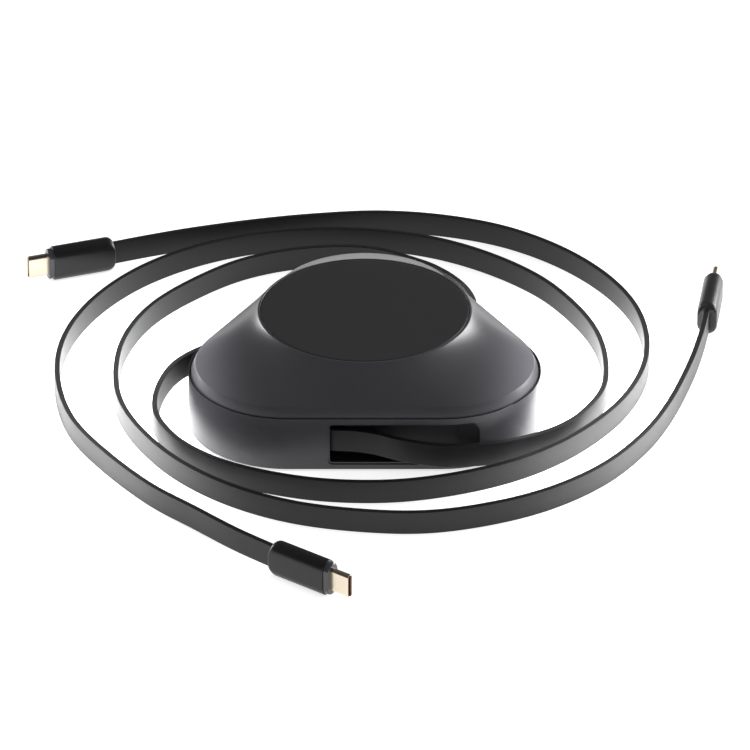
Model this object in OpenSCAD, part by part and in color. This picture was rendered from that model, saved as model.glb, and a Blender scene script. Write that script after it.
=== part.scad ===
// Retractable charging station: a rounded triangular housing with a round
// charging pad on top. Three spring reels inside let out three flat cords,
// each through a slot of its own and each ending in a plug.

/* [Housing] */
// Distance from the middle of the housing to the centre of each rounded corner
corner_dist = 29.2; // [28.4:0.2:36]
// Radius of the three rounded corners
corner_r = 33; // [32.5:0.5:40]
// Thickness of the lower wall
wall_t = 2.2; // [1.6:0.1:2.4]
// Height of the lower wall, from its foot to the seam
wall_h = 18.8; // [18.6:0.1:24]
// Thickness of the floor of the lower housing
floor_t = 2.4; // [2.2:0.1:3]
// Height of the upper shell, from the seam to its rim
shell_h = 14.4; // [14:0.1:20]
// Thickness of the upper shell
shell_t = 2; // [1.6:0.1:2.2]
// Width of the land on top of the wall, outside the seam
land_w = 0.4; // [0.3:0.05:0.7]
// Width of the groove that shows as the seam, between the land and the shell
groove_w = 0.6; // [0.3:0.05:0.9]
// Depth of that groove, down to the step that the shell sits on
groove_d = 1; // [0.6:0.1:1.2]
// How far the bevelled shoulder of the shell leans in
shoulder_w = 1.4; // [0.8:0.1:2]
// Height of that shoulder, from the seam to its crease
shoulder_h = 3; // [2:0.1:3.6]
// How far the slope of the shell flares out below the rim
flare_w = 4; // [2:0.5:6]
// Height of that flare
flare_h = 5; // [3:0.5:6]

/* [Charging pad] */
// Radius of the charging pad
pad_r = 34.5; // [32:0.1:35]
// Thickness of the charging pad
pad_t = 1.4; // [1.2:0.1:2]
// Gap round the charging pad
pad_gap = 0.2; // [0.15:0.05:0.4]
// Width of the rim round the charging pad
rim_w = 0.8; // [0.7:0.1:1.4]

/* [Base pad] */
// How far the rubber base pad lifts the housing off the table
base_stand = 0.8; // [0.5:0.1:1.5]
// Thickness of the rubber base pad
base_pad_t = 1.6; // [1.2:0.1:2]
// How far the base pad keeps in from the wall
base_inset = 4; // [3:0.5:8]

/* [Cord slots] */
// Left end of each slot, from the middle of its wall
slot_left = 11.4; // [10.5:0.1:13]
// Right end of each slot, from the middle of its wall
slot_right = 37.7; // [34:0.1:38.5]
// Height of each slot
slot_h = 13.9; // [13:0.1:14.3]
// Corner radius at the left end of each slot, where the cord comes out
slot_corner_left = 0.8; // [0.4:0.1:3]
// Corner radius at the right end of each slot
slot_corner_right = 3.6; // [1:0.1:5]
// How far the channel behind each slot reaches in from the wall's face
channel_depth = 6.2; // [5.4:0.1:6.6]
// Width of the stepped frame round each slot
frame_w = 0.7; // [0.4:0.1:1]
// Depth of that step
frame_d = 0.5; // [0.2:0.1:0.8]

/* [Reels] */
// Radius of the drum that the cord winds on
drum_r = 14; // [13:0.1:14.5]
// Radius of the two flanges of a spool
flange_r = 25; // [24:0.1:25.5]
// Thickness of each flange
flange_t = 1; // [0.8:0.1:1.1]
// Radius of the post that a spool turns on
post_r = 3; // [2.5:0.1:4]
// Radial clearance of the spool on its post
post_fit = 0.05; // [0.03:0.01:0.1]
// Teeth on the ratchet of a spool
ratchet_teeth = 12; // [10:1:16]
// Turns of cord left on a drum when the cord is fully out
turns_left = 1.5; // [1:0.5:2]
// Turns of a mainspring
spring_turns = 6; // [4:1:8]

/* [Cords and plugs] */
// Width of the flat cord
cord_w = 8; // [7:0.1:8.2]
// Thickness of the flat cord
cord_t = 1.8; // [1.4:0.1:1.9]
// Length of the plug's grip
grip_l = 22; // [18:0.5:28]
// Height of the plug's grip
grip_h = 12.4; // [11.6:0.1:13]
// Thickness of the plug's grip
grip_t = 6.7; // [6:0.1:8]
// Length of the collar in front of the grip
collar_l = 1.8; // [1.2:0.1:3]
// Length of the metal mouth in front of the collar
mouth_l = 6.9; // [6:0.1:7.5]

/* [Hidden] */

$fn = 64;
graphite = "#3a3a3c";
black = "#222224";
steel = "#b9bcc0";
brass = "#c9a86a";
board_green = "#1f5a3c";
strip = "#8f9499";
play = 0.3;
// How far a boss or a post is sunk into what carries it
lap = 0.5;

// Heights, counted from the table
z_wall = base_stand;
z_floor = z_wall + floor_t;
z_seam = z_wall + wall_h;
z_rim = z_seam + shell_h;
z_ledge = z_rim - pad_t;
z_slot = z_floor;
rim_r = pad_r + pad_gap + rim_w;
rim_cut = 0.3;

// Ledge that carries the pad, and the tongue by which the shell sits in the wall
ledge_t = 1.8;
opening_r = 26;
tongue_h = 0.9;
tongue_t = 1.2;

// Reels: the front reel sits in the left corner and feeds the front slot
reel_x = -24.5;
reel_y = -19;
ratchet_h = 1.2;
ratchet_gap = 0.6;
thrust_r = post_r + 2;
thrust_play = 0.2;
z_ratchet = z_floor + ratchet_gap;
z_spool = z_ratchet + ratchet_h;
z_drum = z_spool + flange_t;
cord_play = 0.2;
z_cord = z_drum + cord_play;
drum_gap = cord_w + 2 * cord_play;
z_flange = z_drum + drum_gap;
z_spool_top = z_flange + flange_t;
cover_t = 1.2;
z_cover = z_spool_top - cover_t;
cavity_r = drum_r - 1.5;
cover_r = drum_r - 1;
bore_r = post_r + post_fit;
slip_t = 0.8;
track_h = 0.1;
track_r = [for (i = [0:3]) drum_r + 1 + 2 * i];
z_slip = z_spool_top + slip_t;

// Ratchet and pawl of a reel
ratchet_r = drum_r + 1.6;
ratchet_root = drum_r - 0.8;
pawl_dist = 21;
pawl_angle = 60;
pawl_arm = 9;
pawl_lean = 48.5;
notch_angle = 24.5;
pawl_h = 1.2;
pawl_pin_r = 1.2;
pawl_pin_fit = 0.06;
pawl_eye_r = 2.4;
pin_top = play + pawl_h + 0.1;

// Leaf spring of a pawl, from the slit in its post to beside the pawl's arm,
// counted from the pawl's pin with X along the arm
leaf_t = 0.25;
leaf_fit = 0.05;
leaf_post = [-4, -4];
leaf_tip = [6, -1.7];
leaf_post_r = 1.2;

// Board, coil and the screws that hold them
board_r = 27;
board_t = 1.2;
board_gap = 3.2;
z_board = z_slip + board_gap;
carrier_r = 29.5;
carrier_t = 1.6;
carrier_drop = 0.6;
z_carrier = z_ledge - ledge_t - carrier_drop - carrier_t;
ferrite_r = 24;
ferrite_t = 0.8;
coil_r = 22;
coil_hole = 9;
coil_t = 1.3;
standoff_dist = 22;
standoff_r = 2.6;
carrier_screw_dist = 28;
boss_x = 3;
boss_y = -33;
boss_r = 3.2;
screw_r = 1.1;
screw_fit = 0.05;
screw_play = 0.35;
spool_screw_l = 7;
spool_hole_l = spool_screw_l + 2;
case_screw_in = 7;
head_r = 2.7;
head_h = 1.8;
small_screw_r = 0.65;
small_head_r = 1.4;
small_head_h = 1;
z_head = base_pad_t + head_h + 0.4;

// Metal mouth of a plug
mouth_h = 8.25;
mouth_t = 2.4;
mouth_wall = 0.3;
mouth_fit = 0.03;

// Routes of the cords: x, y and the height of the cord's lower edge. The first
// points run from the drum to just outside the slot and are shared.
outlet = [
  [-32.5, -35, 6.2], [-25, -38.6, 6.2], [-17.5, -42, 6.2], [-10.5, -44.2, 6.2],
  [-3, -44.9, 6.2], [4, -47, 6.2], [9.5, -49.6, 6.1], [15, -51.4, 5.8]
];
front_run = [
  [24.5, -52, 4.7], [31.5, -50.5, 3.8], [38, -48.5, 3], [45, -45.5, 2.2],
  [51.5, -41.5, 1.4], [58, -37, 0.7], [65, -31, 0.2], [72, -22, 0],
  [79, -6.5, 0], [80.5, 12, 0], [78, 32, 0], [71, 51, 0], [59.5, 70, 0],
  [43, 86, 0], [24, 97.5, 0], [3, 103.5, 0], [-18, 104.5, 0], [-39, 100.5, 0],
  [-58.5, 91.5, 0], [-76, 77.5, 0], [-89.5, 59.5, 0], [-98.5, 39, 0],
  [-102.5, 17.5, 0], [-101.5, -5, 0], [-96, -27, 0], [-85, -47.5, 0],
  [-70, -68.5, 0], [-55, -84.5, 0.5], [-41.5, -99.5, 1.4], [-29, -111.5, 2.2]
];
right_run = [
  [36.5, 46, 4.7], [35, 54.5, 3.2], [32, 64, 1.6], [26.5, 73.5, 0.6],
  [18.5, 81.5, 0.1], [1, 91, 0], [-21, 90.5, 0], [-41.5, 82.5, 0],
  [-59, 67.5, 0], [-72.5, 50, 0], [-80.5, 29.5, 0], [-83, 8, 0],
  [-81, -13.5, 0], [-73.5, -33.5, 0], [-61, -53, 0], [-44, -69, 0],
  [-24, -80, 0], [-2, -85.5, 0], [20, -86.5, 0], [41.5, -81, 0],
  [61, -71, 0], [78.5, -55.5, 0], [92, -35.5, 0], [101, -15, 0.2],
  [108.5, 9, 0.9], [113, 28, 1.7], [115.5, 42.5, 2.2]
];
left_run = [
  [-57.5, 9, 5.2], [-62.5, 4.5, 4.2], [-66, -1, 3], [-68.5, -8, 1.6],
  [-69.5, -15, 0.6], [-69, -22, 0.1], [-66.5, -30, 0], [-59.5, -42, 0],
  [-47, -53.5, 0], [-31, -61.5, 0], [-12, -66.5, 0], [9, -67, 0],
  [29, -62.5, 0], [48, -54, 0], [64.5, -41.5, 0], [78, -25.5, 0],
  [87.5, -8.5, 0], [93.5, 11.5, 0], [94.5, 32.5, 0], [90.5, 53.5, 0],
  [81, 73.5, 0], [66.5, 91.5, 0], [48, 105.5, 0], [27, 113.5, 0],
  [5, 116.5, 0], [-17, 114.5, 0], [-38.5, 110, 0.1], [-59, 103.3, 0.6],
  [-74, 96.5, 1.4], [-86.5, 90, 2.2]
];
runs = [front_run, right_run, left_run];
// Heading of each plug, counter-clockwise from the X axis
plug_heading = [-37, 82, 200];

// A point turned about the middle of the housing to one of the three sides
function turned(p, side) =
  let (c = cos(120 * side), s = sin(120 * side))
  [c * p[0] - s * p[1], s * p[0] + c * p[1], p[2]];

// The whole route of one cord
function route(side) = concat([for (p = outlet) turned(p, side)], runs[side]);

// Heading of a route at one of its points
function heading(pts, i, last_heading) =
  i == len(pts) - 1 ? last_heading
  : let (a = pts[max(i - 1, 0)], b = pts[i + 1]) atan2(b[1] - a[1], b[0] - a[0]);

// Section of the flat cord standing on its edge: across, up
edge_cut = 0.35;
half_t = cord_t / 2;
cord_section = [
  [half_t, edge_cut], [half_t, cord_w - edge_cut], [half_t - edge_cut, cord_w],
  [edge_cut - half_t, cord_w], [-half_t, cord_w - edge_cut], [-half_t, edge_cut],
  [edge_cut - half_t, 0], [half_t - edge_cut, 0]
];

// Faces that close a stack of rings with the same number of points
function stack_faces(rings, sides) = concat(
  [[for (i = [0:sides - 1]) sides - 1 - i]],
  [for (r = [0:rings - 2], i = [0:sides - 1])
    [r * sides + i, r * sides + (i + 1) % sides,
     (r + 1) * sides + (i + 1) % sides, (r + 1) * sides + i]],
  [[for (i = [0:sides - 1]) (rings - 1) * sides + i]]
);

// Faces of a ring-shaped skin, whose last ring joins the first
function loop_faces(rings, sides) =
  [for (r = [0:rings - 1], i = [0:sides - 1])
    [r * sides + i, r * sides + (i + 1) % sides,
     ((r + 1) % rings) * sides + (i + 1) % sides, ((r + 1) % rings) * sides + i]];

// Distance from the middle to a rounded triangle with corners of radius rr
function tri_radius(phi, rr) =
  let (
    q = phi - 30,
    psi = abs(q - 120 * floor(q / 120) - 60),
    side = 60 - psi,
    flat_half = atan2(corner_dist * sin(60), corner_dist / 2 + rr)
  )
  side <= flat_half ? (corner_dist / 2 + rr) / cos(side)
  : corner_dist * cos(psi) + sqrt(rr * rr - pow(corner_dist * sin(psi), 2));

// One level of the shell: share of circle, corner radius, circle radius, height
loft_sides = 72;
function level(v) =
  [for (i = [0:loft_sides - 1])
    let (
      phi = i * 360 / loft_sides,
      r = v[0] == 1 ? v[2] : (1 - v[0]) * tri_radius(phi, v[1]) + v[0] * v[2]
    )
    [r * cos(phi), r * sin(phi), v[3]]];

// The slope of the shell from its shoulder (0) to its rim (1), bent by one control
// point so that it flares out below the rim. Share of circle, its radius, height.
slope_steps = 10;
function slope_share(u) = 1 - pow(1 - u, 2);
function slope_circle(u, rim) = rim + flare_w * 2 * (1 - u) / (2 - u);
function slope_z(u, low, high) =
  pow(1 - u, 2) * low + 2 * u * (1 - u) * (high - flare_h) + u * u * high;

// Triangle with three round corners, each an arc of 120 degrees
arc_step = 5;
module rounded_triangle(r) polygon([for (i = [0:2], s = [-60:arc_step:60])
  let (a = 90 + 120 * i)
  [corner_dist * cos(a) + r * cos(a + s), corner_dist * sin(a) + r * sin(a + s)]]);

module triangle_block(r, h) linear_extrude(h) rounded_triangle(r);

// Outline of a slot on its wall, seen from outside
module slot_outline(grow) {
  w = slot_left + slot_right + 2 * grow;
  h = slot_h + 2 * grow;
  a = slot_corner_left + grow;
  b = slot_corner_right + grow;
  translate([-slot_left - grow, -grow]) {
    translate([a, 0]) square([w - a - b, h]);
    translate([0, a]) square([a, h - 2 * a]);
    translate([w - b, b]) square([b, h - 2 * b]);
    for (y = [a, h - a]) translate([a, y]) circle(a);
    for (y = [b, h - b]) translate([w - b, y]) circle(b);
  }
}

// A slot as a block that runs from well outside the wall to a given depth
slot_reach = 8;
module slot_block(grow, depth) {
  face_y = -(corner_dist / 2 + corner_r);
  translate([0, face_y + depth, z_slot])
    rotate([90, 0, 0]) linear_extrude(depth + slot_reach) slot_outline(grow);
}

// The wall that closes the channel behind a slot, with the cord's guide post at
// one end and a ramp that meets the outer wall at the other
guide_x = -6.5;
guide_r = 1.5;
channel_t = 1.2;
ramp_back = 3.5;
ramp_l = 8.5;
ramp_angle = 19.3;
module channel_wall() {
  back = channel_depth - corner_dist / 2 - corner_r;
  ramp_x = slot_right - ramp_back;
  translate([0, 0, z_floor]) linear_extrude(z_slot + slot_h + play - z_floor) {
    translate([guide_x, back - channel_t + guide_r]) circle(guide_r);
    translate([guide_x, back - channel_t]) square([ramp_x - guide_x, channel_t]);
    translate([ramp_x, back]) rotate(-ramp_angle) translate([0, -channel_t]) square([ramp_l, channel_t]);
  }
}

module at_side(side) rotate([0, 0, 120 * side]) children();
module at_reel(side) at_side(side) translate([reel_x, reel_y, 0]) children();

// At a pawl's pin on the floor, with X along the pawl's arm
module at_pawl(side)
  at_reel(side) rotate(pawl_angle) translate([pawl_dist, 0, z_floor]) rotate(180 - pawl_lean) children();

// At the post of a pawl's leaf spring, with X along the leaf
module at_leaf(side) {
  reach = leaf_tip - leaf_post;
  at_pawl(side) translate([leaf_post[0], leaf_post[1], 0]) rotate(atan2(reach[1], reach[0])) children();
}

module lower_housing() {
  inner_r = corner_r - wall_t;
  color(graphite) difference() {
    union() {
      difference() {
        translate([0, 0, z_wall]) triangle_block(corner_r, wall_h);
        translate([0, 0, z_floor]) triangle_block(inner_r, wall_h);
        // Step that the edge of the shell sits on
        translate([0, 0, z_seam - groove_d]) triangle_block(corner_r - land_w, groove_d + 1);
      }
      for (side = [0:2]) {
        at_side(side) intersection() {
          channel_wall();
          triangle_block(inner_r + lap, z_seam);
        }
        at_side(side) translate([boss_x, boss_y, z_floor - lap])
          cylinder(r = boss_r, h = z_seam - z_floor + lap);
        at_reel(side) translate([0, 0, z_floor - lap]) {
          cylinder(r = thrust_r, h = lap + ratchet_gap - thrust_play);
          cylinder(r = post_r, h = lap + z_spool_top + play - z_floor);
        }
        at_pawl(side) translate([0, 0, -lap]) cylinder(r = pawl_pin_r, h = lap + pin_top, $fn = 32);
        at_leaf(side) translate([0, 0, -lap]) cylinder(r = leaf_post_r, h = lap + pin_top, $fn = 32);
      }
    }
    // Recess for the base pad
    translate([0, 0, -1]) triangle_block(corner_r - base_inset + play, 1 + base_pad_t);
    for (side = [0:2]) {
      at_side(side) slot_block(0, wall_t + lap);
      // Stepped frame, as deep on the flat as round the corner
      at_side(side) intersection() {
        slot_block(frame_w, wall_t);
        difference() {
          triangle_block(corner_r + slot_reach, z_seam);
          triangle_block(corner_r - frame_d, z_seam);
        }
      }
      at_side(side) translate([boss_x, boss_y, -1]) {
        cylinder(r = screw_r + screw_play, h = z_seam + 2, $fn = 32);
        cylinder(r = head_r + 0.1, h = 1 + z_head, $fn = 32);
      }
      at_reel(side) translate([0, 0, z_spool_top + play - spool_hole_l])
        cylinder(r = screw_r + screw_fit, h = spool_hole_l + 1, $fn = 32);
      at_leaf(side) translate([-leaf_post_r - 1, -leaf_t / 2 - leaf_fit, 0])
        cube([2 * leaf_post_r + 2, leaf_t + 2 * leaf_fit, pin_top + 1]);
    }
  }
}

module upper_housing() {
  edge_r = corner_r - land_w - groove_w;
  tongue_r = corner_r - wall_t - play;
  slope_r = edge_r - shoulder_w;
  z_slope = z_seam + shoulder_h;
  z_under = z_ledge - ledge_t;
  // The inside of the slope lies this far in, and this far down
  inset = 0.8 * shell_t;
  z_tongue = z_seam - groove_d - tongue_h;
  outer = concat(
    [[0, edge_r, 0, z_seam - groove_d], [0, edge_r, 0, z_seam]],
    [for (k = [0:slope_steps]) let (u = k / slope_steps)
      [slope_share(u), slope_r, slope_circle(u, rim_r), slope_z(u, z_slope, z_rim - rim_cut)]],
    [[1, 0, rim_r - rim_cut, z_rim], [1, 0, pad_r + pad_gap, z_rim],
     [1, 0, pad_r + pad_gap, z_ledge], [1, 0, opening_r, z_ledge],
     [1, 0, opening_r, z_under], [1, 0, carrier_r + 1.5, z_under]]
  );
  inner = concat(
    [for (k = [slope_steps - 1:-1:0]) let (u = k / slope_steps)
      [slope_share(u), slope_r - inset, slope_circle(u, rim_r - inset),
       slope_z(u, z_slope - inset, z_under + 0.4)]],
    [[0, tongue_r - tongue_t, 0, z_tongue], [0, tongue_r, 0, z_tongue],
     [0, tongue_r, 0, z_seam - groove_d]]
  );
  levels = concat(outer, inner);
  points = [for (v = levels) each level(v)];
  color(graphite) difference() {
    union() {
      polyhedron(points, [for (f = loop_faces(len(levels), loft_sides)) [f[3], f[2], f[1], f[0]]]);
      for (side = [0:2]) at_side(side)
        translate([boss_x, boss_y, z_seam]) cylinder(r = boss_r, h = z_under + 2 * lap - z_seam);
    }
    for (side = [0:2]) at_side(side)
      translate([boss_x, boss_y, z_seam - 1])
        cylinder(r = screw_r + screw_fit, h = 1 + case_screw_in + 1, $fn = 32);
    for (side = [0:2]) at_side(side) rotate(90)
      translate([carrier_screw_dist, 0, z_under - 1])
        cylinder(r = small_screw_r + screw_fit, h = 2.2, $fn = 24);
  }
}

module charging_pad() {
  edge = 0.35;
  color("#2f2f31") rotate_extrude($fn = 128) polygon([
    [0, z_ledge], [pad_r, z_ledge], [pad_r, z_rim - edge], [pad_r - edge, z_rim], [0, z_rim]
  ]);
}

module base_pad() {
  color("#1c1c1d") triangle_block(corner_r - base_inset, base_pad_t);
}

// A screw standing on its thread, head down, with a cross recess in its head
module screw(length, shank_r, top_r, top_h) {
  difference() {
    union() {
      cylinder(r = top_r, h = top_h, $fn = 32);
      translate([0, 0, top_h]) cylinder(r = shank_r, h = length, $fn = 32);
    }
    for (a = [0, 90]) rotate(a) translate([-top_r * 0.6, -0.3, -1])
      cube([top_r * 1.2, 0.6, 1 + top_h * 0.55]);
  }
}

module case_screws() {
  color(steel) for (side = [0:2]) at_side(side)
    translate([boss_x, boss_y, z_head - head_h])
      screw(z_seam + case_screw_in - z_head, screw_r, head_r, head_h);
}

module charging_coil() {
  z = z_carrier + carrier_t + ferrite_t;
  color(brass) difference() {
    translate([0, 0, z]) cylinder(r = coil_r, h = coil_t, $fn = 96);
    translate([0, 0, z - 1]) cylinder(r = coil_hole, h = coil_t + 2, $fn = 64);
  }
}

module ferrite_disc() {
  color("#3b3a38") translate([0, 0, z_carrier + carrier_t])
    cylinder(r = ferrite_r, h = ferrite_t, $fn = 96);
}

module coil_carrier() {
  ring_h = z_ledge - ledge_t - z_carrier;
  color("#e4e2dc") difference() {
    union() {
      translate([0, 0, z_carrier]) cylinder(r = carrier_r, h = ring_h, $fn = 96);
      for (side = [0:2]) at_side(side) rotate(30)
        translate([standoff_dist, 0, z_board + board_t])
          cylinder(r = standoff_r, h = z_carrier - z_board - board_t + 0.5);
    }
    translate([0, 0, z_carrier + carrier_t]) cylinder(r = opening_r + 0.3, h = ring_h, $fn = 96);
    for (side = [0:2]) at_side(side) {
      rotate(90) translate([carrier_screw_dist, 0, z_carrier - 1])
        cylinder(r = 1, h = ring_h + 2, $fn = 24);
      rotate(30) translate([standoff_dist, 0, z_board]) cylinder(r = 0.9, h = 6, $fn = 24);
    }
    // Way through for the ends of the coil
    translate([-3, -1.5, z_carrier - 1]) cube([6, 3, carrier_t + 2]);
  }
}

module carrier_screws() {
  color(steel) for (side = [0:2]) at_side(side) rotate(90)
    translate([carrier_screw_dist, 0, z_carrier - small_head_h])
      screw(z_ledge - ledge_t - z_carrier + 1, small_screw_r, small_head_r, small_head_h);
}

module main_board() {
  color(board_green) difference() {
    translate([0, 0, z_board]) cylinder(r = board_r, h = board_t, $fn = 96);
    for (side = [0:2]) at_side(side) {
      rotate(30) translate([standoff_dist, 0, z_board - 1]) cylinder(r = 1, h = board_t + 2, $fn = 24);
      // Notch that clears the boss of a case screw
      translate([boss_x, boss_y, z_board - 1]) cylinder(r = boss_r + 4, h = board_t + 2);
    }
  }
}

module board_screws() {
  color(steel) for (side = [0:2]) at_side(side) rotate(30)
    translate([standoff_dist, 0, z_board - 1]) screw(4.4, 0.8, 1.7, 1);
}

module controller_chips() {
  z = z_board + board_t;
  color("#1b1b1d") {
    translate([-3.5, -3.5, z]) cube([7, 7, 1]);
    for (side = [0:2]) at_side(side) translate([-2.5, 10, z]) cube([5, 5, 1.2]);
  }
}

module power_inductors() {
  z = z_board + board_t;
  color("#4a4642") for (side = [0:2]) at_side(side) rotate(30) translate([13.5, 0, z])
    linear_extrude(3.6) square([6.6, 6.6], center = true);
}

module capacitors() {
  z = z_board + board_t;
  can_h = z_carrier - z - 1.2;
  color("#6f757c") for (side = [0:2], s = [-1, 1]) at_side(side)
    rotate(8 * s) translate([20 + s, 0, z]) cylinder(r = 1.3, h = min(can_h, 5), $fn = 32);
}

module spool(side) {
  teeth = [for (i = [0:ratchet_teeth - 1], k = [0, 1])
    let (a = pawl_angle + notch_angle + i * 360 / ratchet_teeth, r = k == 0 ? ratchet_root : ratchet_r)
    [r * cos(a), r * sin(a)]];
  color("#d8d6d0") at_reel(side) difference() {
    union() {
      translate([0, 0, z_ratchet]) linear_extrude(ratchet_h) polygon(teeth);
      translate([0, 0, z_spool]) cylinder(r = flange_r, h = flange_t, $fn = 96);
      translate([0, 0, z_spool]) cylinder(r = drum_r, h = z_spool_top - z_spool, $fn = 96);
      translate([0, 0, z_flange]) cylinder(r = flange_r, h = flange_t, $fn = 96);
    }
    translate([0, 0, z_drum]) cylinder(r = cavity_r, h = drum_gap + 5, $fn = 96);
    translate([0, 0, z_cover]) cylinder(r = cover_r, h = cover_t + 1, $fn = 96);
    translate([0, 0, z_ratchet - 1]) cylinder(r = bore_r, h = 30);
    // Holes that lighten the lower flange
    for (i = [0:5]) rotate(60 * i) translate([(drum_r + flange_r) / 2 + 0.8, 0, z_spool - 1])
      cylinder(r = 2.6, h = flange_t + 2, $fn = 32);
  }
}

module spring_cover(side) {
  color("#c9c7c1") at_reel(side) difference() {
    translate([0, 0, z_cover]) cylinder(r = cover_r - 0.04, h = cover_t, $fn = 96);
    translate([0, 0, z_cover - 1]) cylinder(r = bore_r, h = cover_t + 2);
  }
}

// Mainspring: a flat strip wound in a spiral inside the drum
module mainspring(side) {
  strip_t = 0.4;
  first_r = post_r + 0.6;
  last_r = cavity_r - 0.05 - strip_t;
  steps = 14 * spring_turns;
  function at(k, out) =
    let (f = k / steps, a = 360 * spring_turns * f, r = first_r + (last_r - first_r) * f + out)
    [r * cos(a), r * sin(a)];
  color(strip) at_reel(side) translate([0, 0, z_drum + play])
    linear_extrude(z_cover - z_drum - 2 * play) polygon(concat(
      [for (k = [0:steps]) at(k, 0)],
      [for (k = [steps:-1:0]) at(k, strip_t)]
    ));
}

module slip_ring(side) {
  color(brass) at_reel(side) difference() {
    union() {
      translate([0, 0, z_spool_top]) cylinder(r = track_r[3] + 1.4, h = slip_t, $fn = 96);
      for (r = track_r) translate([0, 0, z_slip]) difference() {
        cylinder(r = r + 0.6, h = track_h, $fn = 96);
        translate([0, 0, -1]) cylinder(r = r - 0.6, h = track_h + 2, $fn = 96);
      }
    }
    translate([0, 0, z_spool_top - 1]) cylinder(r = cover_r + 0.4, h = slip_t + 2, $fn = 96);
  }
}

// Contact block under the board, with one finger on each track of the slip ring
module brush_block(side) {
  toward = 38;
  margin = 1.2;
  block_w = 6;
  block_gap = 0.8;
  finger_r = 0.5;
  finger_play = 0.06;
  color("#2b2b2d") at_reel(side) rotate(toward) {
    translate([track_r[0] - margin, -block_w / 2, z_slip + block_gap])
      cube([track_r[3] - track_r[0] + 2 * margin, block_w, z_board - z_slip - block_gap]);
    for (i = [0:3]) translate([track_r[i], (i % 2) * 2 - 1, z_slip + track_h + finger_play])
      cylinder(r = finger_r, h = block_gap, $fn = 24);
  }
}

module spool_screws() {
  color(steel) for (side = [0:2]) at_reel(side)
    translate([0, 0, z_spool_top + play + 1.4]) rotate([180, 0, 0])
      screw(spool_screw_l, screw_r, post_r + 1.5, 1.4);
}

// Pawl: an eye on its pin and an arm, drawn lifted. Turned 16 degrees towards
// the reel, its tip drops into a notch of the ratchet.
module pawl(side) {
  tip = pawl_arm;
  color(steel) at_pawl(side) translate([0, 0, play]) difference() {
    linear_extrude(pawl_h) {
      circle(pawl_eye_r, $fn = 48);
      polygon([[0, -1.5], [tip - 2.4, -1.1], [tip, -0.2], [tip, 0.5], [1, 2]]);
    }
    translate([0, 0, -1]) cylinder(r = pawl_pin_r + pawl_pin_fit, h = pawl_h + 2, $fn = 32);
  }
}

module pawl_spring(side) {
  tail = leaf_post_r - 0.2;
  color(strip) at_leaf(side) translate([-tail, -leaf_t / 2, play])
    cube([tail + norm(leaf_tip - leaf_post), leaf_t, pawl_h]);
}

// What stays wound on the drum: the outer shape of the turns left
module cord_turns(side) {
  color(black) at_reel(side) translate([0, 0, z_cord]) difference() {
    cylinder(r = drum_r + turns_left * cord_t, h = cord_w, $fn = 96);
    translate([0, 0, -1]) cylinder(r = drum_r, h = cord_w + 2, $fn = 96);
  }
}

module cord(side) {
  pts = route(side);
  points = [for (i = [0:len(pts) - 1])
    let (h = heading(pts, i, plug_heading[side]))
    each [for (s = cord_section)
      [pts[i][0] + s[0] * sin(h), pts[i][1] - s[0] * cos(h), pts[i][2] + s[1]]]];
  color(black) polyhedron(points, stack_faces(len(pts), len(cord_section)));
}

// Puts a plug at the end of its cord: X forward, standing on the table
module at_plug(side) {
  end = runs[side][len(runs[side]) - 1];
  translate([end[0], end[1], 0]) rotate([0, 0, plug_heading[side]]) children();
}

// Upright bar with half-round top and bottom, along X
module upright_bar(x, length, h, t) {
  translate([x, 0, grip_h / 2]) rotate([90, 0, 90]) linear_extrude(length) {
    square([t, h - t], center = true);
    for (s = [-1, 1]) translate([0, s * (h - t) / 2]) circle(t / 2, $fn = 48);
  }
}

module plug_grip(side) {
  rear_r = 2.6;
  color(black) at_plug(side) intersection() {
    upright_bar(0, grip_l, grip_h, grip_t);
    rotate([90, 0, 0]) translate([0, 0, -grip_t]) linear_extrude(2 * grip_t) {
      translate([rear_r, 0]) square([grip_l - rear_r, grip_h]);
      translate([0, rear_r]) square([grip_l, grip_h - 2 * rear_r]);
      for (z = [rear_r, grip_h - rear_r]) translate([rear_r, z]) circle(rear_r);
    }
  }
}

module plug_collar(side) {
  color("#6a6c70") at_plug(side) difference() {
    upright_bar(grip_l, collar_l, grip_h - 1.2, grip_t - 1);
    upright_bar(grip_l - 1, collar_l + 2, mouth_h + 2 * mouth_fit, mouth_t + 2 * mouth_fit);
  }
}

module plug_shell(side) {
  color("#d8ccb8") at_plug(side) difference() {
    upright_bar(grip_l, collar_l + mouth_l, mouth_h, mouth_t);
    upright_bar(grip_l - 1, collar_l + mouth_l + 2, mouth_h - 2 * mouth_wall,
      mouth_t - 2 * mouth_wall);
  }
}

// Insulator inside the mouth, open down its middle for the other half's tongue
module plug_insert(side) {
  recess = 0.4;
  slit_t = 0.8;
  slit_h = 6.4;
  inset = 2 * (mouth_wall + mouth_fit);
  color("#3a2a22") at_plug(side) difference() {
    upright_bar(grip_l, collar_l + mouth_l - recess, mouth_h - inset, mouth_t - inset);
    translate([grip_l + collar_l, -slit_t / 2, (grip_h - slit_h) / 2])
      cube([mouth_l, slit_t, slit_h]);
  }
}

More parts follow.
